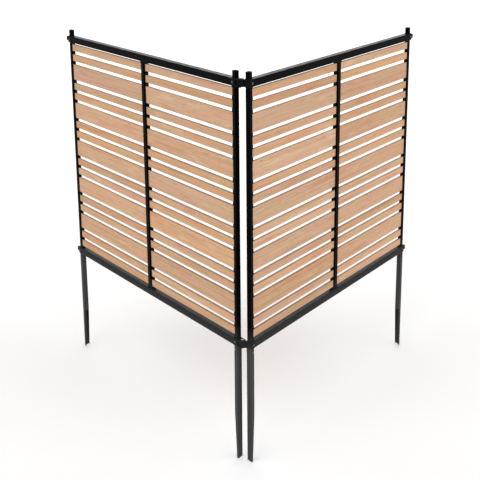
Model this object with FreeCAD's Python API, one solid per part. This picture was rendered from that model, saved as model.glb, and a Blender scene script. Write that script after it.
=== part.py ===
import FreeCAD, Part
import math
import os

# Two-panel garden privacy screen: black steel tube frames, horizontal cedar slats threaded
# on tie rods, plastic corner brackets, and ground stakes. Millimetres, +Z up. The origin is
# the centre of the footprint at the level of the stake ends, and the corner points to -Y.

V = FreeCAD.Vector
UP = V(0, 0, 1)

# --- driving dimensions -------------------------------------------------------------------
panel_pitch = 1200.0        # end post axis to end post axis in one panel
corner_angle = 65.0         # angle between the two panels as they stand

post_width = 16.0           # square tube of the end posts
post_wall = 1.2
tube_corner = 1.0           # outside rounding of every steel tube
post_rise = 20.0            # tube above the top rail
post_in_stake = 120.0       # tube below the bottom rail, inside the stake
upright_width = 20.0        # square tube between the two bays of a panel

rail_width = 25.0           # square tube of the rails
rail_wall = 1.2

slat_thickness = 8.0
narrow_height = 27.0
wide_height = 62.0
slat_pattern = "NNWNNWNNWNNWNNWNN"
slat_gap = 13.0
top_gap = 7.0               # between the top rail and the first slat
bottom_gap = 9.0            # between the last slat and the bottom rail
slat_end_gap = 0.5          # slat end to upright
slat_edge = 0.8             # rounding along the slat's long edges

spacer_length = 9.0
spacer_end_gap = 0.3
rod_radius = 1.5
rod_hole = 1.8
rod_reach = 5.5             # past the outside of the rail's wall, into the rail
nut_flats = 5.5
nut_height = 2.4
nut_thread_clearance = 0.05

bracket_wall = 3.0          # beside the post, along the rail
bracket_edge = 1.0
post_clearance = 0.1        # all round the post in a bracket or a stake
spigot_length = 35.0
spigot_wall = 3.0
spigot_clearance = 0.2      # all round the spigot in the rail

bore_radius = 3.3           # every hinge pin hole
tongue_reach = 14.9         # bracket's face to the hole in a tongue
tongue_height = 16.0
tongue_width = 16.0
tongue_end = 10.0           # hole to the tongue's end
tongue_round = 3.0          # rounding of the end's two corners
hinge_along = 9.0           # right inner post axis to the hinge axis, along the panel
fold_gap = 2.0              # between the rails of panels folded back to back
ear_gap = 0.5               # fork's ears to the tongue, above and below
root_gap = 0.6              # turning tongue to the bottom of the fork's slot
pin_clearance = 0.08        # radial
pin_head_radius = 5.5
pin_head_height = 2.5
pin_head_round = 1.5
pin_tail = 3.5
clip_radius = 5.8
clip_height = 1.0
clip_gap = 0.2
clip_mouth = 0.8            # half the mouth's width, as a share of the ring's inner radius
groove_depth = 0.6

grub_radius = 2.0
grub_short = 0.5            # end of the grub screw to the pin hole
grub_socket = 1.0           # radius of its hexagon socket
grub_socket_depth = 1.6

cap_rim = 3.0
cap_point = 1.5
cap_flat = 8.0              # width of the small flat on the cap's point
cap_plug = 12.0
cap_clearance = 0.1

foot_depth = 16.0
foot_plug = 15.0
foot_peg_radius = 4.0
foot_peg_length = 4.0
foot_clearance = 0.1

stake_length = 424.0
stake_wall = 1.2
stake_taper = 186.0         # length of the open, tapered end
stake_tip = 7.0             # width of the tip, along the panel
stake_slant = 7.0           # the tip's back corners above its front ones

screw_radius = 1.9
screw_length = 7.0
screw_head_radius = 3.4
screw_head_height = 1.9
screw_clearance = 0.1

bolt_radius = 2.5
bolt_drop = 15.0            # bottom rail to the stake bolt
bolt_head_radius = 4.2
bolt_head_height = 2.6
bolt_nut_flats = 8.0
bolt_nut_height = 4.0
bolt_tail = 1.5
hole_clearance = 0.1

# --- worked-out levels and places ---------------------------------------------------------
slat_heights = [narrow_height if kind == "N" else wide_height for kind in slat_pattern]
slat_field = top_gap + sum(slat_heights) + slat_gap * (len(slat_heights) - 1) + bottom_gap
low_rail_z = stake_length                       # underside of the bottom rail
field_z = low_rail_z + rail_width               # top of the bottom rail
high_rail_z = field_z + slat_field              # underside of the top rail
post_top_z = high_rail_z + rail_width + post_rise

body_half = post_width / 2 + post_clearance + bracket_wall   # bracket body, along the rail
bore_reach = body_half + tongue_reach                        # post axis to a tongue's hole
hinge_behind = rail_width + fold_gap                         # right panel's plane to hinge axis
tongue_half = tongue_width / 2
tongue_swing = tongue_round + math.hypot(tongue_end - tongue_round, tongue_half - tongue_round)
fork_root = tongue_swing + root_gap                          # hinge axis to the slot's bottom
stake_width = post_width + 2 * (post_clearance + stake_wall)
rod_offset = spacer_end_gap + spacer_length / 2              # upright's face to a tie rod
spigot_width = rail_width - 2 * (rail_wall + spigot_clearance)
pin_radius = bore_radius - pin_clearance


# --- simple solids ------------------------------------------------------------------------
def block(x0, x1, y0, y1, z0, z1):
    """A box between two corners, given in any order."""
    low = V(min(x0, x1), min(y0, y1), min(z0, z1))
    return Part.makeBox(abs(x1 - x0), abs(y1 - y0), abs(z1 - z0), low)


def square_block(x, width, z0, z1):
    """An upright box of square section, centred on the panel's plane at x."""
    return block(x - width / 2, x + width / 2, -width / 2, width / 2, z0, z1)


def square_tube(x, width, wall, z0, z1):
    """An upright square tube with rounded corners, open at both ends."""
    outside = square_block(x, width, z0, z1)
    outside = outside.makeFillet(tube_corner, edges_along(outside, UP))
    return outside.cut(square_block(x, width - 2 * wall, z0 - 1, z1 + 1))


def upright_rod(radius, x, y, z0, z1):
    return Part.makeCylinder(radius, z1 - z0, V(x, y, z0), UP)


def cross_rod(radius, x, z, y0, y1):
    """A rod square to the panel, from y0 to y1."""
    direction = V(0, 1 if y1 > y0 else -1, 0)
    return Part.makeCylinder(radius, abs(y1 - y0), V(x, y0, z), direction)


def hexagon(flats, height):
    """A hexagonal prism standing on the origin."""
    corner = flats / math.sqrt(3)
    turns = [math.radians(60 * step) for step in range(7)]
    outline = Part.makePolygon([V(corner * math.cos(t), corner * math.sin(t), 0) for t in turns])
    return Part.Face(outline).extrude(UP * height)


def level_square(width, z):
    half = width / 2
    corners = [V(-half, -half, z), V(half, -half, z), V(half, half, z), V(-half, half, z)]
    return Part.makePolygon(corners + corners[:1])


def edges_along(shape, direction):
    """The straight edges of a shape that run along a direction."""
    found = []
    for edge in shape.Edges:
        if len(edge.Vertexes) == 2:
            run = edge.Vertexes[1].Point.sub(edge.Vertexes[0].Point)
            if run.Length > 0 and abs(run.normalize().dot(direction)) > 0.999:
                found.append(edge)
    return found


# --- tube frame ---------------------------------------------------------------------------
def post(x, front):
    """An end post, drilled in front for both brackets and through for the stake bolt."""
    tube = square_tube(x, post_width, post_wall, low_rail_z - post_in_stake, post_top_z)
    for rail_z in (low_rail_z, high_rail_z):
        middle_z = rail_z + rail_width / 2
        tube = tube.cut(cross_rod(screw_radius + screw_clearance, x, middle_z, front * post_width, 0))
    bolt_z = low_rail_z - bolt_drop
    return tube.cut(cross_rod(bolt_radius + hole_clearance, x, bolt_z, -stake_width, stake_width))


def rod_places():
    """Distances of the four tie rods along the panel: two at the ends, two at the middle."""
    beside_post = post_width / 2 + rod_offset
    beside_upright = upright_width / 2 + rod_offset
    middle = panel_pitch / 2
    return [beside_post, middle - beside_upright, middle + beside_upright, panel_pitch - beside_post]


def rail(z, inner_face):
    """A rail, with the rod and peg holes in the wall at inner_face."""
    x0 = body_half
    x1 = panel_pitch - body_half
    half = rail_width / 2
    tube = block(x0, x1, -half, half, z, z + rail_width)
    tube = tube.makeFillet(tube_corner, edges_along(tube, V(1, 0, 0)))
    hollow = half - rail_wall
    tube = tube.cut(block(x0 - 1, x1 + 1, -hollow, hollow, z + rail_wall, z + rail_width - rail_wall))
    for x in rod_places():
        tube = tube.cut(upright_rod(rod_hole, x, 0, inner_face - 2 * rail_wall, inner_face + 2 * rail_wall))
    peg_hole = foot_peg_radius + foot_clearance
    low = inner_face - 2 * rail_wall
    tube = tube.cut(upright_rod(peg_hole, panel_pitch / 2, 0, low, low + 4 * rail_wall))
    return tube


def middle_upright():
    """The tube between the two bays, standing on its feet."""
    z0 = field_z + bottom_gap
    z1 = high_rail_z - top_gap
    return square_tube(panel_pitch / 2, upright_width, post_wall, z0, z1)


def foot(rail_face, inward, height):
    """A foot of the middle upright: a peg in the rail, a base for two rods, a plug in the tube."""
    x = panel_pitch / 2
    base_half = upright_width / 2 + spacer_end_gap + spacer_length
    top = rail_face + inward * height
    base = block(x - base_half, x + base_half, -foot_depth / 2, foot_depth / 2, rail_face, top)
    base = base.makeFillet(bracket_edge, edges_along(base, UP))
    plug_width = upright_width - 2 * (post_wall + foot_clearance)
    plug = square_block(x, plug_width, min(top, top + inward * foot_plug), max(top, top + inward * foot_plug))
    peg_end = rail_face - inward * foot_peg_length
    peg = upright_rod(foot_peg_radius, x, 0, min(rail_face, peg_end), max(rail_face, peg_end))
    body = base.fuse(plug).fuse(peg).removeSplitter()
    for side in (-1, 1):
        rod_x = x + side * (upright_width / 2 + rod_offset)
        body = body.cut(upright_rod(rod_hole, rod_x, 0, min(rail_face, top) - 1, max(rail_face, top) + 1))
    return body


def post_cap(x):
    """A push-in cap with a low four-sided point."""
    rim = square_block(0, post_width, post_top_z, post_top_z + cap_rim)
    rim_top = post_top_z + cap_rim
    outline = [level_square(post_width, rim_top), level_square(cap_flat, rim_top + cap_point)]
    point = Part.makeLoft(outline, True, True)
    plug_width = post_width - 2 * (post_wall + cap_clearance)
    plug = square_block(0, plug_width, post_top_z - cap_plug, post_top_z)
    cap = rim.fuse(point).fuse(plug).removeSplitter()
    cap.translate(V(x, 0, 0))
    return cap


# --- brackets and hinge -------------------------------------------------------------------
def bracket_body(x, outward, z):
    """The sleeve round the post, with the hollow spigot that holds the rail."""
    half = rail_width / 2
    body = block(x - body_half, x + body_half, -half, half, z, z + rail_width)
    body = body.makeFillet(bracket_edge, edges_along(body, UP))
    face = x - outward * body_half
    width = spigot_width / 2
    end = face - outward * spigot_length
    spigot = block(face, end, -width, width, z + half - width, z + half + width)
    core = width - spigot_wall
    core_block = block(face, end - outward, -core, core, z + half - core, z + half + core)
    return body.fuse(spigot).cut(core_block)


def finish_bracket(body, x, outward, z, front, rail_face):
    """The post's hole, the screw hole in front, and the hole for the tie rod."""
    hole = post_width + 2 * post_clearance
    body = body.cut(square_block(x, hole, z - 1, z + rail_width + 1))
    middle_z = z + rail_width / 2
    body = body.cut(cross_rod(screw_radius + screw_clearance, x, middle_z, front * rail_width, 0))
    rod_x = x - outward * (post_width / 2 + rod_offset)
    reach = rail_wall + spigot_clearance + spigot_wall + 1
    return body.cut(upright_rod(rod_hole, rod_x, 0, rail_face - reach, rail_face + reach))


def tongue(bore_x, root_x, z):
    """The flat tongue from root_x to past its upright hole, with a squared, rounded end."""
    middle_z = z + rail_width / 2
    low = middle_z - tongue_height / 2
    high = middle_z + tongue_height / 2
    outward = 1 if bore_x > root_x else -1
    end_x = bore_x + outward * tongue_end
    arm = block(root_x, end_x, -tongue_half, tongue_half, low, high)
    corners = [edge for edge in edges_along(arm, UP) if abs(edge.Vertexes[0].X - end_x) < 0.1]
    return arm.makeFillet(tongue_round, corners)


def tongue_bracket(x, outward, z, front, rail_face):
    """A bracket whose tongue takes a hinge pin, locked by a grub screw from the front."""
    bore_x = x + outward * bore_reach
    arm = tongue(bore_x, x + outward * (body_half - bracket_edge), z)
    body = bracket_body(x, outward, z).fuse(arm).removeSplitter()
    body = body.cut(upright_rod(bore_radius, bore_x, 0, z - 1, z + rail_width + 1))
    middle_z = z + rail_width / 2
    body = body.cut(cross_rod(grub_radius + screw_clearance, bore_x, middle_z, front * (tongue_half + 1), 0))
    return finish_bracket(body, x, outward, z, front, rail_face)


def fork_bracket(x, outward, z, front, rail_face):
    """A bracket that carries the rail's line on to the hinge, forked round the other's tongue."""
    half = rail_width / 2
    hinge_x = x + outward * bore_reach
    arm = block(x + outward * (body_half - bracket_edge), hinge_x, -half, half, z, z + rail_width)
    arm = arm.fuse(upright_rod(half, hinge_x, 0, z, z + rail_width))
    body = bracket_body(x, outward, z).fuse(arm).removeSplitter()
    slot_half = tongue_height / 2 + ear_gap
    root_x = hinge_x - outward * fork_root
    far_x = hinge_x + outward * (half + 1)
    slot = block(root_x, far_x, -half - 1, half + 1, z + half - slot_half, z + half + slot_half)
    body = body.cut(slot).cut(upright_rod(bore_radius, hinge_x, 0, z - 1, z + rail_width + 1))
    return finish_bracket(body, x, outward, z, front, rail_face)


def rear_tongue_bracket(x, outward, z, front, rail_face):
    """A bracket whose tongue reaches behind the panel, into the other panel's fork."""
    hinge_x = x + outward * hinge_along
    arm = tongue(hinge_behind, rail_width / 2 - bracket_edge, z)
    arm.rotate(V(0, 0, 0), UP, -front * 90)
    arm.translate(V(hinge_x, 0, 0))
    body = bracket_body(x, outward, z).fuse(arm).removeSplitter()
    hinge_y = -front * hinge_behind
    body = body.cut(upright_rod(bore_radius, hinge_x, hinge_y, z - 1, z + rail_width + 1))
    return finish_bracket(body, x, outward, z, front, rail_face)


def hinge_pin(x, y, z):
    """A headed pin down through both ears and the tongue, grooved for its clip."""
    top = z + rail_width
    shank = upright_rod(pin_radius, x, y, z - pin_tail, top)
    head = upright_rod(pin_head_radius, x, y, top, top + pin_head_height)
    head = head.makeFillet(pin_head_round, [head.Edges[0]])
    groove_top = z - clip_gap
    groove = upright_rod(pin_radius + 1, x, y, groove_top - clip_height, groove_top)
    groove = groove.cut(upright_rod(pin_radius - groove_depth, x, y, groove_top - clip_height, groove_top))
    return shank.fuse(head).removeSplitter().cut(groove)


def pin_clip(x, y, z):
    """The open ring that snaps into the pin's groove under the lower ear."""
    top = z - clip_gap
    ring = upright_rod(clip_radius, x, y, top - clip_height, top)
    throat = pin_radius - groove_depth + screw_clearance
    ring = ring.cut(upright_rod(throat, x, y, top - clip_height, top))
    mouth = throat * clip_mouth
    return ring.cut(block(x - mouth, x + mouth, y, y + clip_radius + 1, top - clip_height, top))


def grub_screw(x, z, front):
    """A grub screw in the front of a tongue, with a hexagon socket."""
    outside = front * tongue_half
    inside = front * (bore_radius + grub_short)
    screw = cross_rod(grub_radius, x, z, outside, inside)
    socket = hexagon(2 * grub_socket, grub_socket_depth)
    socket.rotate(V(0, 0, 0), V(1, 0, 0), 90 * front)
    socket.translate(V(x, outside, z))
    return screw.cut(socket)


# --- slats --------------------------------------------------------------------------------
def slat(x0, x1, z0, height):
    """One board with rounded long edges."""
    half = slat_thickness / 2
    board = block(x0, x1, -half, half, z0, z0 + height)
    return board.makeFillet(slat_edge, edges_along(board, V(1, 0, 0)))


def bay_ends(bay):
    """The faces of the two uprights that a bay lies between."""
    middle = panel_pitch / 2
    if bay == "inner":
        return post_width / 2, middle - upright_width / 2
    return middle + upright_width / 2, panel_pitch - post_width / 2


def slat_levels():
    """Kind, underside and height of each slat, from the top down."""
    levels = []
    top = high_rail_z - top_gap
    for kind, height in zip(slat_pattern, slat_heights):
        levels.append((kind, top - height, height))
        top -= height + slat_gap
    return levels


def bay_slats(bay, wanted):
    """The narrow or the wide boards of a bay, drilled upright for the tie rod at each end."""
    x0, x1 = bay_ends(bay)
    boards = []
    for kind, z0, height in slat_levels():
        if kind == wanted:
            board = slat(x0 + slat_end_gap, x1 - slat_end_gap, z0, height)
            for rod_x in (x0 + rod_offset, x1 - rod_offset):
                board = board.cut(upright_rod(rod_hole, rod_x, 0, z0 - 1, z0 + height + 1))
            boards.append(board)
    return boards


def spacer(x, z0, z1):
    """A drilled block on a tie rod, between two slats or a slat and a rail."""
    half = spacer_length / 2
    body = block(x - half, x + half, -slat_thickness / 2, slat_thickness / 2, z0, z1)
    return body.cut(upright_rod(rod_hole, x, 0, z0 - 1, z1 + 1))


def bay_spacers(bay):
    """The spacers on both rods of a bay; beside the middle upright its feet end the stack."""
    x0, x1 = bay_ends(bay)
    stacks = {"inner": ((x0 + rod_offset, True), (x1 - rod_offset, False)),
              "outer": ((x0 + rod_offset, False), (x1 - rod_offset, True))}
    levels = slat_levels()
    spacers = []
    for rod_x, at_post in stacks[bay]:
        for upper, lower in zip(levels, levels[1:]):
            spacers.append(spacer(rod_x, lower[1] + lower[2], upper[1]))
        if at_post:
            spacers.append(spacer(rod_x, levels[0][1] + levels[0][2], high_rail_z))
            spacers.append(spacer(rod_x, field_z, levels[-1][1]))
    return spacers


def tie_rods():
    z0 = field_z - rod_reach
    z1 = high_rail_z + rod_reach
    return [upright_rod(rod_radius, x, 0, z0, z1) for x in rod_places()]


def rod_nuts():
    """The nuts inside the rails, on the two rods beside the middle upright."""
    nuts = []
    for x in rod_places()[1:3]:
        for z in (field_z - rail_wall - nut_height, high_rail_z + rail_wall):
            nut = hexagon(nut_flats, nut_height)
            nut.translate(V(x, 0, z))
            thread = rod_radius + nut_thread_clearance
            nuts.append(nut.cut(upright_rod(thread, x, 0, z - 1, z + nut_height + 1)))
    return nuts


# --- stakes -------------------------------------------------------------------------------
def stake(x, outward, front):
    """A tube round the post's foot that opens and tapers, on its inner side, to a slanted tip."""
    tube = square_tube(x, stake_width, stake_wall, 0, low_rail_z)
    half = stake_width / 2
    inner = x - outward * half
    tip = x + outward * (half - stake_tip)
    beyond = inner - outward * 5
    outline = [V(beyond, 0, stake_taper), V(inner, 0, stake_taper), V(tip, 0, 0)]
    outline += [V(tip, 0, -5), V(beyond, 0, -5)]
    cutter = Part.Face(Part.makePolygon(outline + outline[:1])).extrude(V(0, 2 * stake_width, 0))
    cutter.translate(V(0, -stake_width, 0))
    back = V(0, -front * half, stake_slant)
    toe = V(0, front * half, 0)
    below = [back, toe, V(0, front * half, -5), V(0, -front * half, -5)]
    slant = Part.Face(Part.makePolygon(below + below[:1])).extrude(V(2 * stake_width, 0, 0))
    slant.translate(V(x - stake_width, 0, 0))
    bolt_z = low_rail_z - bolt_drop
    hole = cross_rod(bolt_radius + hole_clearance, x, bolt_z, -stake_width, stake_width)
    return tube.cut(cutter).cut(slant).cut(hole)


# --- fasteners ----------------------------------------------------------------------------
def post_screw(x, z, front):
    """A pan-head screw through the front of a bracket into the post."""
    face = front * rail_width / 2
    head = cross_rod(screw_head_radius, x, z, face, face + front * screw_head_height)
    shank = cross_rod(screw_radius, x, z, face, face - front * screw_length)
    return head.fuse(shank).removeSplitter()


def stake_bolt(x, front):
    """A round-head bolt through stake and post."""
    z = low_rail_z - bolt_drop
    face = front * stake_width / 2
    head = cross_rod(bolt_head_radius, x, z, face, face + front * bolt_head_height)
    end = -face - front * (bolt_nut_height + bolt_tail)
    return head.fuse(cross_rod(bolt_radius, x, z, face, end)).removeSplitter()


def stake_nut(x, front):
    z = low_rail_z - bolt_drop
    nut = hexagon(bolt_nut_flats, bolt_nut_height)
    nut.rotate(V(0, 0, 0), V(1, 0, 0), 90 * front)
    nut.translate(V(x, -front * stake_width / 2, z))
    reach = 2 * stake_width
    return nut.cut(cross_rod(bolt_radius + nut_thread_clearance, x, z, -reach, reach))


# --- panels -------------------------------------------------------------------------------
def panel(front, inner_bracket):
    """One panel, with x along it from the inner post, and its front on the side of `front`."""
    ends = {"inner": (0.0, -1), "outer": (panel_pitch, 1)}
    levels = {"top": (high_rail_z, high_rail_z), "bottom": (low_rail_z, field_z)}
    pieces = {}
    for end, (x, outward) in ends.items():
        pieces[end + "_post"] = [post(x, front)]
        pieces[end + "_cap"] = [post_cap(x)]
        pieces[end + "_stake"] = [stake(x, outward, front)]
        make = inner_bracket if end == "inner" else tongue_bracket
        for level, (z, rail_face) in levels.items():
            pieces[end + "_" + level + "_bracket"] = [make(x, outward, z, front, rail_face)]
        pieces[end + "_bay_narrow_slats"] = bay_slats(end, "N")
        pieces[end + "_bay_wide_slats"] = bay_slats(end, "W")
        pieces[end + "_bay_spacers"] = bay_spacers(end)
    pieces["middle_upright"] = [middle_upright()]
    pieces["upright_feet"] = [foot(field_z, 1, bottom_gap), foot(high_rail_z, -1, top_gap)]
    pieces["top_rail"] = [rail(high_rail_z, high_rail_z)]
    pieces["bottom_rail"] = [rail(low_rail_z, field_z)]
    pieces["tie_rods"] = tie_rods()
    pieces["tie_rod_nuts"] = rod_nuts()
    post_screws = []
    grubs = []
    for z, rail_face in levels.values():
        middle_z = z + rail_width / 2
        post_screws += [post_screw(x, middle_z, front) for x, outward in ends.values()]
        grubs.append(grub_screw(panel_pitch + bore_reach, middle_z, front))
    pieces["post_screws"] = post_screws
    pieces["grub_screws"] = grubs
    pieces["stake_bolts"] = [stake_bolt(x, front) for x, outward in ends.values()]
    pieces["stake_nuts"] = [stake_nut(x, front) for x, outward in ends.values()]
    return pieces


def placed(pieces, prefix, turn, hinge_x, hinge_y, to):
    """Turns a panel about its hinge axis, which is at hinge_x, hinge_y in it, and names it."""
    for name, solids in pieces.items():
        for solid in solids:
            solid.translate(V(-hinge_x, -hinge_y, 0))
            solid.rotate(V(0, 0, 0), UP, turn)
        to[prefix + name] = solids


def whole_screen():
    """Both panels round the hinge axis, with the left panel's front on +y as it is built."""
    nodes = {}
    half_angle = corner_angle / 2
    left_turn = 90 + half_angle
    fork_x = -bore_reach
    pins = {"top_hinge_pin": [hinge_pin(fork_x, 0, high_rail_z)],
            "bottom_hinge_pin": [hinge_pin(fork_x, 0, low_rail_z)],
            "hinge_pin_clips": [pin_clip(fork_x, 0, z) for z in (high_rail_z, low_rail_z)]}
    placed(panel(1, fork_bracket), "left_", left_turn, fork_x, 0, nodes)
    placed(pins, "", left_turn, fork_x, 0, nodes)
    right = panel(-1, rear_tongue_bracket)
    placed(right, "right_", 90 - half_angle, -hinge_along, hinge_behind, nodes)
    return nodes


def centred(nodes):
    """Moves the footprint's centre to the origin and returns where the hinge axis then is."""
    whole = FreeCAD.BoundBox()
    for solids in nodes.values():
        for solid in solids:
            whole.add(solid.optimalBoundingBox(False))
    shift = V(-whole.Center.x, -whole.Center.y, -whole.ZMin)
    for solids in nodes.values():
        for solid in solids:
            solid.translate(shift)
    print("size", round(whole.XLength, 2), round(whole.YLength, 2), round(whole.ZLength, 2))
    return shift


def write_nodes(nodes):
    os.makedirs("parts", exist_ok=True)
    for name, solids in sorted(nodes.items()):
        shape = solids[0] if len(solids) == 1 else Part.makeCompound(solids)
        shape.exportStep("parts/" + name + ".step")
        count = len(shape.Solids)
        if count != len(solids) or not shape.isValid():
            print("CHECK", name, "solids", count, "of", len(solids), "valid", shape.isValid())


screen = whole_screen()
hinge = centred(screen)
write_nodes(screen)
print("nodes", len(screen), "hinge axis at", round(hinge.x, 3), round(hinge.y, 3))
print("rail undersides", low_rail_z, high_rail_z, "post tops", post_top_z)
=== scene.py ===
import math
import random
import bpy
from mathutils import Matrix, Vector


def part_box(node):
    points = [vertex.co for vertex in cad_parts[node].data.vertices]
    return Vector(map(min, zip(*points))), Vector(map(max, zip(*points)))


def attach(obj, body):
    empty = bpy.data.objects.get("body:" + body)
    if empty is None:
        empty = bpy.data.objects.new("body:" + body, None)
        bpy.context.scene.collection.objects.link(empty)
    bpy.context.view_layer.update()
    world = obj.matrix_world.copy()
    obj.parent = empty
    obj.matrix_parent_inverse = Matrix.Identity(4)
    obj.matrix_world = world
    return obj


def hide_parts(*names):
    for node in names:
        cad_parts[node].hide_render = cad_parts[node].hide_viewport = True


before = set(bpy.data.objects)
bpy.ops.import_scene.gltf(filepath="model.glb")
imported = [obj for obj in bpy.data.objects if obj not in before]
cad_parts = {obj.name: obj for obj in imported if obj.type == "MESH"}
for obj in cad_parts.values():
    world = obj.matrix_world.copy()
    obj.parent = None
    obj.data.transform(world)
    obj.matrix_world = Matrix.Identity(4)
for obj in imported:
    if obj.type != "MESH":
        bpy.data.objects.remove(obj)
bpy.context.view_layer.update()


# Steel tubes: end posts of 16 mm, middle uprights of 20 mm and rails of 25 mm square tube, cut
# to length, with rounded corners and a satin black powder coat. The posts run through the end
# brackets into the stakes, the rails sit on the brackets' spigots, the uprights on their feet.
TUBE_ROUNDING = 0.0003
SAME_POINT = 1e-5
FLAT_WITHIN = math.radians(0.5)
SHARP_FROM = math.radians(40)
SMOOTH_BELOW = math.radians(42)
NOISE_LOW, NOISE_HIGH = 0.3, 0.7
MIX_FIRST, MIX_SECOND, MIX_RESULT = 6, 7, 2
# The black coats turn grey from half a metre down: painted light from the lit floor on the lower
# parts.
FLOOR_LIGHT_STARTS, FLOOR_LIGHT_COVERS = 0.50, 0.38
COAT_DARK, COAT_LIGHT, COAT_FLOOR_LIGHT = (0.0014,) * 3, (0.0024,) * 3, (0.052,) * 3
COAT_ROUGHNESS = (0.36, 0.46)
CLOUD_SCALE = 38.0
PEEL_SCALE = 820.0
PEEL_HEIGHT = 0.00006
PEEL_STRENGTH = 0.6


def alone(piece):
    """Selects one piece and nothing else."""
    bpy.ops.object.select_all(action="DESELECT")
    piece.select_set(True)
    bpy.context.view_layer.objects.active = piece


def apply_modifier(piece, kind, **settings):
    """Puts a modifier on a piece, sets it and makes it part of the mesh."""
    alone(piece)
    bpy.ops.object.modifier_add(type=kind)
    added = piece.modifiers[-1]
    for name, value in settings.items():
        setattr(added, name, value)
    bpy.ops.object.modifier_apply(modifier=added.name)


def round_edges(piece, width, segments):
    """Rounds the sharp edges, and shades the roundings smooth and the flats flat."""
    apply_modifier(piece, "BEVEL", width=width, segments=segments, limit_method="ANGLE",
                   angle_limit=SHARP_FROM)
    alone(piece)
    bpy.ops.object.shade_smooth_by_angle(angle=SMOOTH_BELOW)
    apply_modifier(piece, "WEIGHTED_NORMAL", keep_sharp=True)


def panel_body(node):
    """The right panel carries its own pieces; the hinge pins ride with the left one."""
    return "right_panel" if node.startswith("right_") else "left_panel"


def hand_over(piece, node, material):
    """The piece stands for the node, rides where it does and takes its finish."""
    piece.data.materials.clear()
    piece.data.materials.append(material)
    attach(piece, panel_body(node))
    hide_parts(node)


def rounded_copy(node, ending, width, segments=2):
    """A copy of a node's shape, merged into one skin, with its sharp edges rounded."""
    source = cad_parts[node]
    piece = bpy.data.objects.new(node + ending, source.data.copy())
    bpy.context.scene.collection.objects.link(piece)
    alone(piece)
    bpy.ops.object.mode_set(mode="EDIT")
    bpy.ops.mesh.select_all(action="SELECT")
    bpy.ops.mesh.remove_doubles(threshold=SAME_POINT)
    bpy.ops.mesh.dissolve_limited(angle_limit=FLAT_WITHIN)
    bpy.ops.object.mode_set(mode="OBJECT")
    round_edges(piece, width, segments)
    return piece


def new_material(name, roughness, specular):
    """A material with its shader, which the section's nodes then feed."""
    material = bpy.data.materials.new(name)
    material.use_nodes = True
    shader = material.node_tree.nodes["Principled BSDF"]
    shader.inputs["Roughness"].default_value = roughness
    shader.inputs["Specular IOR Level"].default_value = specular
    return material, shader


def add_node(material, kind, values=None, **settings):
    """Adds a shader node; values go to its inputs by name, settings to the node itself."""
    made = material.node_tree.nodes.new("ShaderNode" + kind)
    for name, value in settings.items():
        setattr(made, name, value)
    for name, value in (values or {}).items():
        if isinstance(value, bpy.types.NodeSocket):
            material.node_tree.links.new(value, made.inputs[name])
        else:
            made.inputs[name].default_value = value
    return made


def connect(material, output, socket):
    material.node_tree.links.new(output, socket)


def object_place(material, scale=(1, 1, 1)):
    """Object coordinates, stretched by a scale on each axis."""
    place = add_node(material, "TexCoord").outputs["Object"]
    return add_node(material, "Mapping", {"Vector": place, "Scale": scale}).outputs[0]


def noise(material, place, scale, detail=2.0, rough=0.5):
    """A soft random pattern, with this many features to a metre of its coordinates."""
    made = add_node(material, "TexNoise", {"Vector": place, "Scale": scale, "Detail": detail,
                                           "Roughness": rough})
    return made.outputs["Fac"]


def tint_range(material, amount, stops):
    """A colour ramp over an amount, from (position, colour) pairs."""
    ramp = add_node(material, "ValToRGB", {"Fac": amount})
    stretch = ramp.color_ramp.elements
    for extra in range(len(stops) - 2):
        stretch.new(0.5)
    for element, (position, colour) in zip(stretch, stops):
        element.position = position
        element.color = (*colour, 1.0)
    return ramp.outputs["Color"]


def two_tones(material, amount, dark, light):
    """Runs from one colour to another over the middle of a noise."""
    return tint_range(material, amount, [(NOISE_LOW, dark), (NOISE_HIGH, light)])


def number_range(material, amount, low, high):
    """Runs from one number to another over the middle of a noise."""
    spread = add_node(material, "MapRange", {"Value": amount, "From Min": NOISE_LOW,
                                             "From Max": NOISE_HIGH, "To Min": low, "To Max": high})
    return spread.outputs["Result"]


def add_bump(material, shader, height, distance, strength):
    """Raises the surface by up to a distance in metres where a pattern is high."""
    bump = add_node(material, "Bump", {"Height": height, "Distance": distance,
                                       "Strength": strength})
    connect(material, bump.outputs["Normal"], shader.inputs["Normal"])


def blend(material, kind, amount, first, second):
    """Mixes two colours; the amount is a number or another node's output."""
    mixed = add_node(material, "Mix", data_type="RGBA", blend_type=kind)
    if isinstance(amount, float):
        mixed.inputs["Factor"].default_value = amount
    else:
        connect(material, amount, mixed.inputs["Factor"])
    for socket, colour in ((MIX_FIRST, first), (MIX_SECOND, second)):
        if isinstance(colour, tuple):
            mixed.inputs[socket].default_value = (*colour, 1.0)
        else:
            connect(material, colour, mixed.inputs[socket])
    return mixed.outputs[MIX_RESULT]


def painted_floor_light(material, base_black, floor_light):
    """A black that turns grey near the ground: painted light from the lit floor, on the lower
    parts.
    """
    place = add_node(material, "TexCoord").outputs["Object"]
    height = add_node(material, "SeparateXYZ", {"Vector": place}).outputs["Z"]
    floor_lit = add_node(material, "MapRange", {"Value": height, "From Min": FLOOR_LIGHT_STARTS,
                                            "From Max": FLOOR_LIGHT_COVERS})
    return blend(material, "MIX", floor_lit.outputs["Result"], base_black, floor_light)


powder_coat, shader = new_material("black_powder_coat", 0.42, 0.014)
place = object_place(powder_coat)
cloud = noise(powder_coat, place, CLOUD_SCALE)
orange_peel = noise(powder_coat, place, PEEL_SCALE, detail=1.0)
# Greyed near the ground: painted light from the floor.
tint = painted_floor_light(powder_coat, two_tones(powder_coat, cloud, COAT_DARK, COAT_LIGHT), COAT_FLOOR_LIGHT)
connect(powder_coat, tint, shader.inputs["Base Color"])
connect(powder_coat, number_range(powder_coat, cloud, *COAT_ROUGHNESS), shader.inputs["Roughness"])
add_bump(powder_coat, shader, orange_peel, PEEL_HEIGHT, PEEL_STRENGTH)

for side in ("left_", "right_"):
    for name in ("outer_post", "inner_post", "top_rail", "bottom_rail", "middle_upright"):
        tube = rounded_copy(side + name, "_tube", TUBE_ROUNDING)
        hand_over(tube, side + name, powder_coat)


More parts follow.
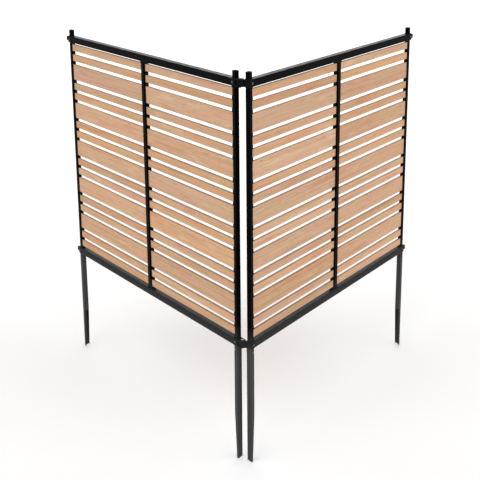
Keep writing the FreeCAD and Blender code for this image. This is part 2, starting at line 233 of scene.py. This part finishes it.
# End brackets, post caps, spacers and the uprights' feet: injection-moulded black plastic with a
# fine spark-eroded grain. The brackets are screwed to the posts, the caps pushed into them, the
# feet pegged into the rails, and the spacers threaded on the rods between the slats.
BRACKET_ROUNDING = 0.0008
CAP_ROUNDING = 0.0005
SPACER_ROUNDING = 0.0006
FOOT_ROUNDING = 0.0005
# The third tone is painted light: the plastic greys near the ground as if lit from the floor.
PLASTIC_DARK, PLASTIC_LIGHT, PLASTIC_FLOOR_LIGHT = (0.0045,) * 3, (0.0065,) * 3, (0.036,) * 3
PLASTIC_ROUGHNESS = (0.52, 0.66)
FLOW_SCALE = 25.0
ERODED_SCALE = 2100.0
ERODED_HEIGHT = 0.00004

moulded, shader = new_material("moulded_black_plastic", 0.6, 0.03)
place = object_place(moulded)
eroded = noise(moulded, place, ERODED_SCALE, detail=3.0, rough=0.6)
flow = noise(moulded, place, FLOW_SCALE)
# Greyed near the ground: painted light from the floor.
tint = painted_floor_light(moulded, two_tones(moulded, flow, PLASTIC_DARK, PLASTIC_LIGHT), PLASTIC_FLOOR_LIGHT)
connect(moulded, tint, shader.inputs["Base Color"])
connect(moulded, number_range(moulded, eroded, *PLASTIC_ROUGHNESS), shader.inputs["Roughness"])
add_bump(moulded, shader, eroded, ERODED_HEIGHT, strength=0.8)

for side in ("left_", "right_"):
    for end in ("outer_", "inner_"):
        for level in ("top_bracket", "bottom_bracket"):
            bracket = rounded_copy(side + end + level, "_moulding", BRACKET_ROUNDING, 3)
            hand_over(bracket, side + end + level, moulded)
        cap = rounded_copy(side + end + "cap", "_moulding", CAP_ROUNDING, 3)
        hand_over(cap, side + end + "cap", moulded)
        spacers = rounded_copy(side + end + "bay_spacers", "_mouldings", SPACER_ROUNDING, 1)
        hand_over(spacers, side + end + "bay_spacers", moulded)
    feet = rounded_copy(side + "upright_feet", "_mouldings", FOOT_ROUNDING)
    hand_over(feet, side + "upright_feet", moulded)


# Cedar slats: planed boards 8 mm thick, 27 and 62 mm high, with eased long edges, each drilled
# at both ends and threaded on two steel rods. The cedar is oiled, so its tan runs from orange
# to pink, and each board is cut from another place in the tree.
PATTERN = "NNWNNWNNWNNWNNWNN"
BOARD_HEIGHT = {"N": 0.027, "W": 0.062}
KIND_NAME = {"N": "narrow", "W": "wide"}
HUE_SHIFT = {"N": 0.1, "W": -0.15}
BOARD_LENGTH = 0.581
BOARD_THICKNESS = 0.008
BOARD_GAP = 0.013
BOARD_EASING = 0.0009
BOARD_SECTIONS = 12
TREE_LENGTH = 40
TREE_DEPTH = (0.02, 0.09)
TREE_HEIGHT = (-0.03, 0.03)
TONE_SPREAD = 0.04
# For each layer of the grain: its features to a metre along and across, detail and roughness.
GRAIN = {"patches": (5.5, 30.0, 3.0, 0.55), "streaks": (2.4, 190.0, 5.0, 0.62),
         "pores": (16.0, 1100.0, 2.0, 0.6), "flecks": (26.0, 330.0, 1.0, 0.5)}
ORANGE_TANS = [(0.30, (0.66, 0.355, 0.185)), (0.45, (0.72, 0.410, 0.240)),
               (0.55, (0.63, 0.405, 0.225)), (0.72, (0.75, 0.470, 0.295))]
PINK_TANS = [(0.30, (0.66, 0.385, 0.250)), (0.45, (0.72, 0.445, 0.310)),
             (0.55, (0.66, 0.445, 0.275)), (0.72, (0.79, 0.520, 0.375))]
STREAK_TINTS = [(0.34, (0.76, 0.66, 0.58)), (0.50, (0.96, 0.94, 0.92)), (0.62, (1.0, 1.0, 1.0))]
FLECK_TINTS = [(0.22, (0.42, 0.32, 0.26)), (0.27, (1.0, 1.0, 1.0))]
# The boards' top and bottom faces are darkened: painted shade, for how the light falls on those
# narrow faces.
EDGE_SHADE = (0.40, 0.33, 0.28)
STREAKS_SHOW, FLECKS_SHOW, EDGE_SHADE_SHOWS = 0.66, 0.8, 0.8
PORE_SHADE = (0.9, 1.0)
PORE_DEPTH = 0.00012
CEDAR_ROUGHNESS = (0.62, 0.5)
draw = random.Random(4171)


def axis_of(node):
    """The middle of a node's box, which for a post is on its upright axis."""
    low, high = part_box(node)
    return (low + high) / 2


def panel_place(side):
    """The matrix of a panel: x from the inner post's axis outwards, z up from the floor."""
    inner = axis_of(side + "inner_post")
    outer = axis_of(side + "outer_post")
    turn = math.atan2(outer.y - inner.y, outer.x - inner.x)
    return Matrix.Translation((inner.x, inner.y, 0)) @ Matrix.Rotation(turn, 4, "Z")


def settle(piece, matrix):
    """Puts a piece in its place and leaves its object at the origin."""
    piece.matrix_world = matrix
    alone(piece)
    bpy.ops.object.transform_apply(location=True, rotation=True, scale=True)


def plain_board(height):
    """One board about the origin: a cube stretched, cut along its length and eased."""
    bpy.ops.object.select_all(action="DESELECT")
    bpy.ops.mesh.primitive_cube_add(size=1)
    board = bpy.context.object
    bpy.ops.object.mode_set(mode="EDIT")
    bpy.ops.transform.resize(value=(BOARD_LENGTH, BOARD_THICKNESS, height))
    for cut in range(1, BOARD_SECTIONS):
        bpy.ops.mesh.select_all(action="SELECT")
        bpy.ops.mesh.bisect(plane_co=(BOARD_LENGTH * (cut / BOARD_SECTIONS - 0.5), 0, 0),
                            plane_no=(1, 0, 0))
    bpy.ops.object.mode_set(mode="OBJECT")
    round_edges(board, BOARD_EASING, 3)
    return board


def store_on_points(mesh, name, kind, field, values):
    """Keeps a value on each point of a mesh, for its material to read."""
    mesh.attributes.new(name=name, type=kind, domain="POINT")
    mesh.attributes[name].data.foreach_set(field, values)


def sawn_board(kind, model, matrix):
    """A copy of a board with its own place in the timber, its own tone, and its top and bottom
    faces marked for painted shade.
    """
    board = bpy.data.objects.new("board", model.data.copy())
    bpy.context.scene.collection.objects.link(board)
    turned = draw.choice((-1, 1))
    start = Vector((draw.uniform(0, TREE_LENGTH), draw.uniform(*TREE_DEPTH),
                    draw.uniform(*TREE_HEIGHT)))
    timber = []
    edges = []
    for point in board.data.vertices:
        timber += [point.co.x * turned + start.x, point.co.y + start.y, point.co.z + start.z]
        # Points off the front and back faces, on the top and bottom, get painted shade.
        edges.append(1.0 if abs(point.co.y) < BOARD_THICKNESS / 2 - SAME_POINT else 0.0)
    store_on_points(board.data, "timber_place", "FLOAT_VECTOR", "vector", timber)
    store_on_points(board.data, "painted_edge_shade", "FLOAT", "value", edges)
    for name, value in (("board_tone", draw.gauss(0, 1)),
                        ("board_hue", draw.random() + HUE_SHIFT[kind])):
        store_on_points(board.data, name, "FLOAT", "value", [value] * len(edges))
    settle(board, matrix)
    return board


def attribute(material, name, output="Fac"):
    """Reads what store_on_points kept."""
    kept = add_node(material, "Attribute", attribute_type="GEOMETRY", attribute_name=name)
    return kept.outputs[output]


def along_grain(material, timber, along, across):
    """Coordinates with their own scale along the board and across it."""
    return add_node(material, "Mapping", {"Vector": timber,
                                          "Scale": (along, across, across)}).outputs[0]


cedar, shader = new_material("oiled_cedar", 0.6, 0.01)
timber = attribute(cedar, "timber_place", "Vector")
grain = {layer: noise(cedar, along_grain(cedar, timber, along, across), 1.0, detail, rough)
         for layer, (along, across, detail, rough) in GRAIN.items()}
orange = tint_range(cedar, grain["patches"], ORANGE_TANS)
pink = tint_range(cedar, grain["patches"], PINK_TANS)
tint = blend(cedar, "MIX", attribute(cedar, "board_hue"), pink, orange)
tint = blend(cedar, "MULTIPLY", STREAKS_SHOW, tint,
             tint_range(cedar, grain["streaks"], STREAK_TINTS))
tint = blend(cedar, "MULTIPLY", FLECKS_SHOW, tint,
             tint_range(cedar, grain["flecks"], FLECK_TINTS))
# Painted shade: the top and bottom faces darkened, as the light falls on them.
edge = add_node(cedar, "Math", {0: attribute(cedar, "painted_edge_shade"), 1: EDGE_SHADE_SHOWS},
                operation="MULTIPLY")
tint = blend(cedar, "MULTIPLY", edge.outputs[0], tint, EDGE_SHADE)
pore_shade = add_node(cedar, "MapRange", {"Value": grain["pores"], "From Min": 0.3, "From Max": 0.6,
                                          "To Min": PORE_SHADE[0], "To Max": PORE_SHADE[1]})
tone = add_node(cedar, "Math", {0: attribute(cedar, "board_tone"), 1: TONE_SPREAD, 2: 1.0},
                operation="MULTIPLY_ADD")
brightness = add_node(cedar, "Math", {0: pore_shade.outputs["Result"], 1: tone.outputs[0]},
                      operation="MULTIPLY")
shaded = add_node(cedar, "VectorMath", {0: tint, "Scale": brightness.outputs[0]},
                  operation="SCALE")
connect(cedar, shaded.outputs[0], shader.inputs["Base Color"])
connect(cedar, number_range(cedar, grain["streaks"], *CEDAR_ROUGHNESS), shader.inputs["Roughness"])
add_bump(cedar, shader, grain["pores"], PORE_DEPTH, strength=0.5)

models = {kind: plain_board(height) for kind, height in BOARD_HEIGHT.items()}
for side in ("left_", "right_"):
    panel = panel_place(side)
    for bay in ("inner_", "outer_"):
        middle = (panel.inverted() @ axis_of(side + bay + "bay_narrow_slats")).x
        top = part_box(side + bay + "bay_narrow_slats")[1].z
        boards = {kind: [] for kind in BOARD_HEIGHT}
        for kind in PATTERN:
            height = BOARD_HEIGHT[kind]
            spot = panel @ Matrix.Translation((middle, 0, top - height / 2))
            boards[kind].append(sawn_board(kind, models[kind], spot))
            top -= height + BOARD_GAP
        for kind, group in boards.items():
            alone(group[0])
            for board in group:
                board.select_set(True)
            bpy.ops.object.join()
            node = side + bay + "bay_" + KIND_NAME[kind] + "_slats"
            group[0].name = node + "_boards"
            hand_over(group[0], node, cedar)
for model in models.values():
    bpy.data.objects.remove(model)


# Ground stakes: square tube one size over the posts, slit and cut to an open, tapered point, with a
# streaky coat whose grey is painted light, standing in for the lit floor's reflection on these
# lowest parts. Each is pushed up over the post's foot and bolted through it.
# The grey of these tones is painted light from the floor, over the black of the coat.
STAKE_DARK, STAKE_LIGHT = (0.036, 0.036, 0.0365), (0.060, 0.060, 0.0605)
STAKE_ROUGHNESS = (0.42, 0.58)
STAKE_STREAKS = (150, 150, 3)
STAKE_PEEL_SCALE = 700.0

stake_coat, shader = new_material("stake_coat_painted_floor_light", 0.5, 0.08)
streaks = noise(stake_coat, object_place(stake_coat, STAKE_STREAKS), 1.0, detail=3.0)
orange_peel = noise(stake_coat, object_place(stake_coat), STAKE_PEEL_SCALE, detail=1.0)
tint = two_tones(stake_coat, streaks, STAKE_DARK, STAKE_LIGHT)
connect(stake_coat, tint, shader.inputs["Base Color"])
connect(stake_coat, number_range(stake_coat, streaks, *STAKE_ROUGHNESS), shader.inputs["Roughness"])
add_bump(stake_coat, shader, orange_peel, PEEL_HEIGHT, PEEL_STRENGTH)

for side in ("left_", "right_"):
    for end in ("outer_", "inner_"):
        stake = rounded_copy(side + end + "stake", "_tube", TUBE_ROUNDING)
        hand_over(stake, side + end + "stake", stake_coat)


# Fasteners and hinge pins: dark zinc-plated steel. Rods thread the slats, screws hold the posts
# in the brackets, a bolt and nut hold each stake, grub screws wait in the outer brackets for
# another panel's pins, and two clipped pins are the hinge.
FASTENER_ROUNDING = 0.0003
PIN_ROUNDING = 0.0002
ZINC_DARK, ZINC_LIGHT = (0.12, 0.12, 0.122), (0.20, 0.20, 0.202)
ZINC_ROUGHNESS = (0.36, 0.5)
BLOOM_SCALE = 160.0
PLATED_SCALE = 1500.0
PLATED_HEIGHT = 0.00003

zinc, shader = new_material("dark_zinc", 0.42, 0.5)
shader.inputs["Metallic"].default_value = 1.0
place = object_place(zinc)
bloom = noise(zinc, place, BLOOM_SCALE, detail=3.0)
plated = noise(zinc, place, PLATED_SCALE, detail=1.0)
tint = two_tones(zinc, bloom, ZINC_DARK, ZINC_LIGHT)
connect(zinc, tint, shader.inputs["Base Color"])
connect(zinc, number_range(zinc, bloom, *ZINC_ROUGHNESS), shader.inputs["Roughness"])
add_bump(zinc, shader, plated, PLATED_HEIGHT, strength=0.5)

for side in ("left_", "right_"):
    for name in ("tie_rods", "tie_rod_nuts", "post_screws", "stake_bolts",
                 "stake_nuts", "grub_screws"):
        fasteners = rounded_copy(side + name, "_plated", FASTENER_ROUNDING)
        hand_over(fasteners, side + name, zinc)
for name in ("top_hinge_pin", "bottom_hinge_pin", "hinge_pin_clips"):
    fasteners = rounded_copy(name, "_plated", PIN_ROUNDING)
    hand_over(fasteners, name, zinc)


# The floor: plain and pale, and nearly white in the camera and in reflections where nothing
# shades it. It is far larger than the view, so no edge of it shows.
FLOOR_SIZE = 120
FLOOR_GLOW = 0.08
FLOOR_COLOUR = (0.88, 0.88, 0.88, 1)
WHITE = (1, 1, 1, 1)


def seen_directly(material):
    """1 for rays from the camera, a reflection or a transmission, and 0 for other rays."""
    path = add_node(material, "LightPath").outputs
    seen = path["Is Camera Ray"]
    for other in ("Is Glossy Ray", "Is Transmission Ray"):
        seen = add_node(material, "Math", {0: seen, 1: path[other]},
                        operation="MAXIMUM").outputs[0]
    return seen


floor_material, shader = new_material("pale_floor", 0.9, 0.0)
shader.inputs["Base Color"].default_value = FLOOR_COLOUR
shader.inputs["Emission Color"].default_value = WHITE
glow = add_node(floor_material, "Math", {0: seen_directly(floor_material), 1: FLOOR_GLOW},
                operation="MULTIPLY")
connect(floor_material, glow.outputs[0], shader.inputs["Emission Strength"])
bpy.ops.object.select_all(action="DESELECT")
bpy.ops.mesh.primitive_plane_add(size=FLOOR_SIZE)
floor = bpy.context.object
floor.name = "floor"
floor.data.materials.append(floor_material)


# The light: a white surround, softer on the object than it looks, a soft far light from the
# front on each side, and a broad soft lamp low behind the screen, whose sheen greys the level
# faces of the black rails.
SURROUND_LIGHT = 0.62
SURROUND_SEEN_EXTRA = 0.38
SUN_SOFTNESS = math.radians(50)
REAR_LAMP_PLACE = Vector((0.0, 16.0, 6.0))
REAR_LAMP_AIM = Vector((0.0, 0.0, 1.0))
REAR_LAMP_SIZE = (18.0, 6.0)
REAR_LAMP_WATTS = 1300

world = bpy.data.worlds.new("surround")
bpy.context.scene.world = world
world.use_nodes = True
surround = add_node(world, "Math", {0: seen_directly(world), 1: SURROUND_SEEN_EXTRA,
                                    2: SURROUND_LIGHT}, operation="MULTIPLY_ADD")
background = world.node_tree.nodes["Background"]
background.inputs["Color"].default_value = WHITE
connect(world, surround.outputs[0], background.inputs["Strength"])


def aimed_lamp(name, kind, toward, strength):
    """A lamp that lights the object from the side that a vector points to."""
    lamp = bpy.data.objects.new(name, bpy.data.lights.new(name, kind))
    bpy.context.scene.collection.objects.link(lamp)
    lamp.data.energy = strength
    lamp.rotation_euler = Vector(toward).to_track_quat("Z", "Y").to_euler()
    return lamp


for name, toward, strength in (("right_front_light", (0.75, -0.55, 0.75), 0.84),
                               ("left_front_light", (-0.65, -0.70, 0.80), 0.92)):
    aimed_lamp(name, "SUN", toward, strength).data.angle = SUN_SOFTNESS
rear = aimed_lamp("low_rear_light", "AREA", REAR_LAMP_PLACE - REAR_LAMP_AIM, REAR_LAMP_WATTS)
rear.location = REAR_LAMP_PLACE
rear.data.shape = "RECTANGLE"
rear.data.size, rear.data.size_y = REAR_LAMP_SIZE


# The camera: a long lens about 3.6 metres in front of the corner and a little under two metres
# up, looking down on the screen at the photograph's viewing angle.
CAMERA_PLACE = (-0.0348, -4.1372, 1.9569)
CAMERA_YAW = 0.374
CAMERA_PITCH = -17.714
CAMERA_ROLL = -0.489
CAMERA_LENS = 87.1
SENSOR_WIDTH = 36.0
CAMERA_REACH = 300.0

lens = bpy.data.cameras.new("camera")
lens.sensor_width = SENSOR_WIDTH
lens.lens = CAMERA_LENS
lens.clip_end = CAMERA_REACH
camera = bpy.data.objects.new("camera", lens)
bpy.context.scene.collection.objects.link(camera)
camera.matrix_world = (Matrix.Translation(CAMERA_PLACE)
                       @ Matrix.Rotation(math.radians(-CAMERA_YAW), 4, "Z")
                       @ Matrix.Rotation(math.radians(90 + CAMERA_PITCH), 4, "X")
                       @ Matrix.Rotation(math.radians(CAMERA_ROLL), 4, "Z"))
bpy.context.scene.camera = camera
bpy.context.scene.view_settings.view_transform = "Standard"
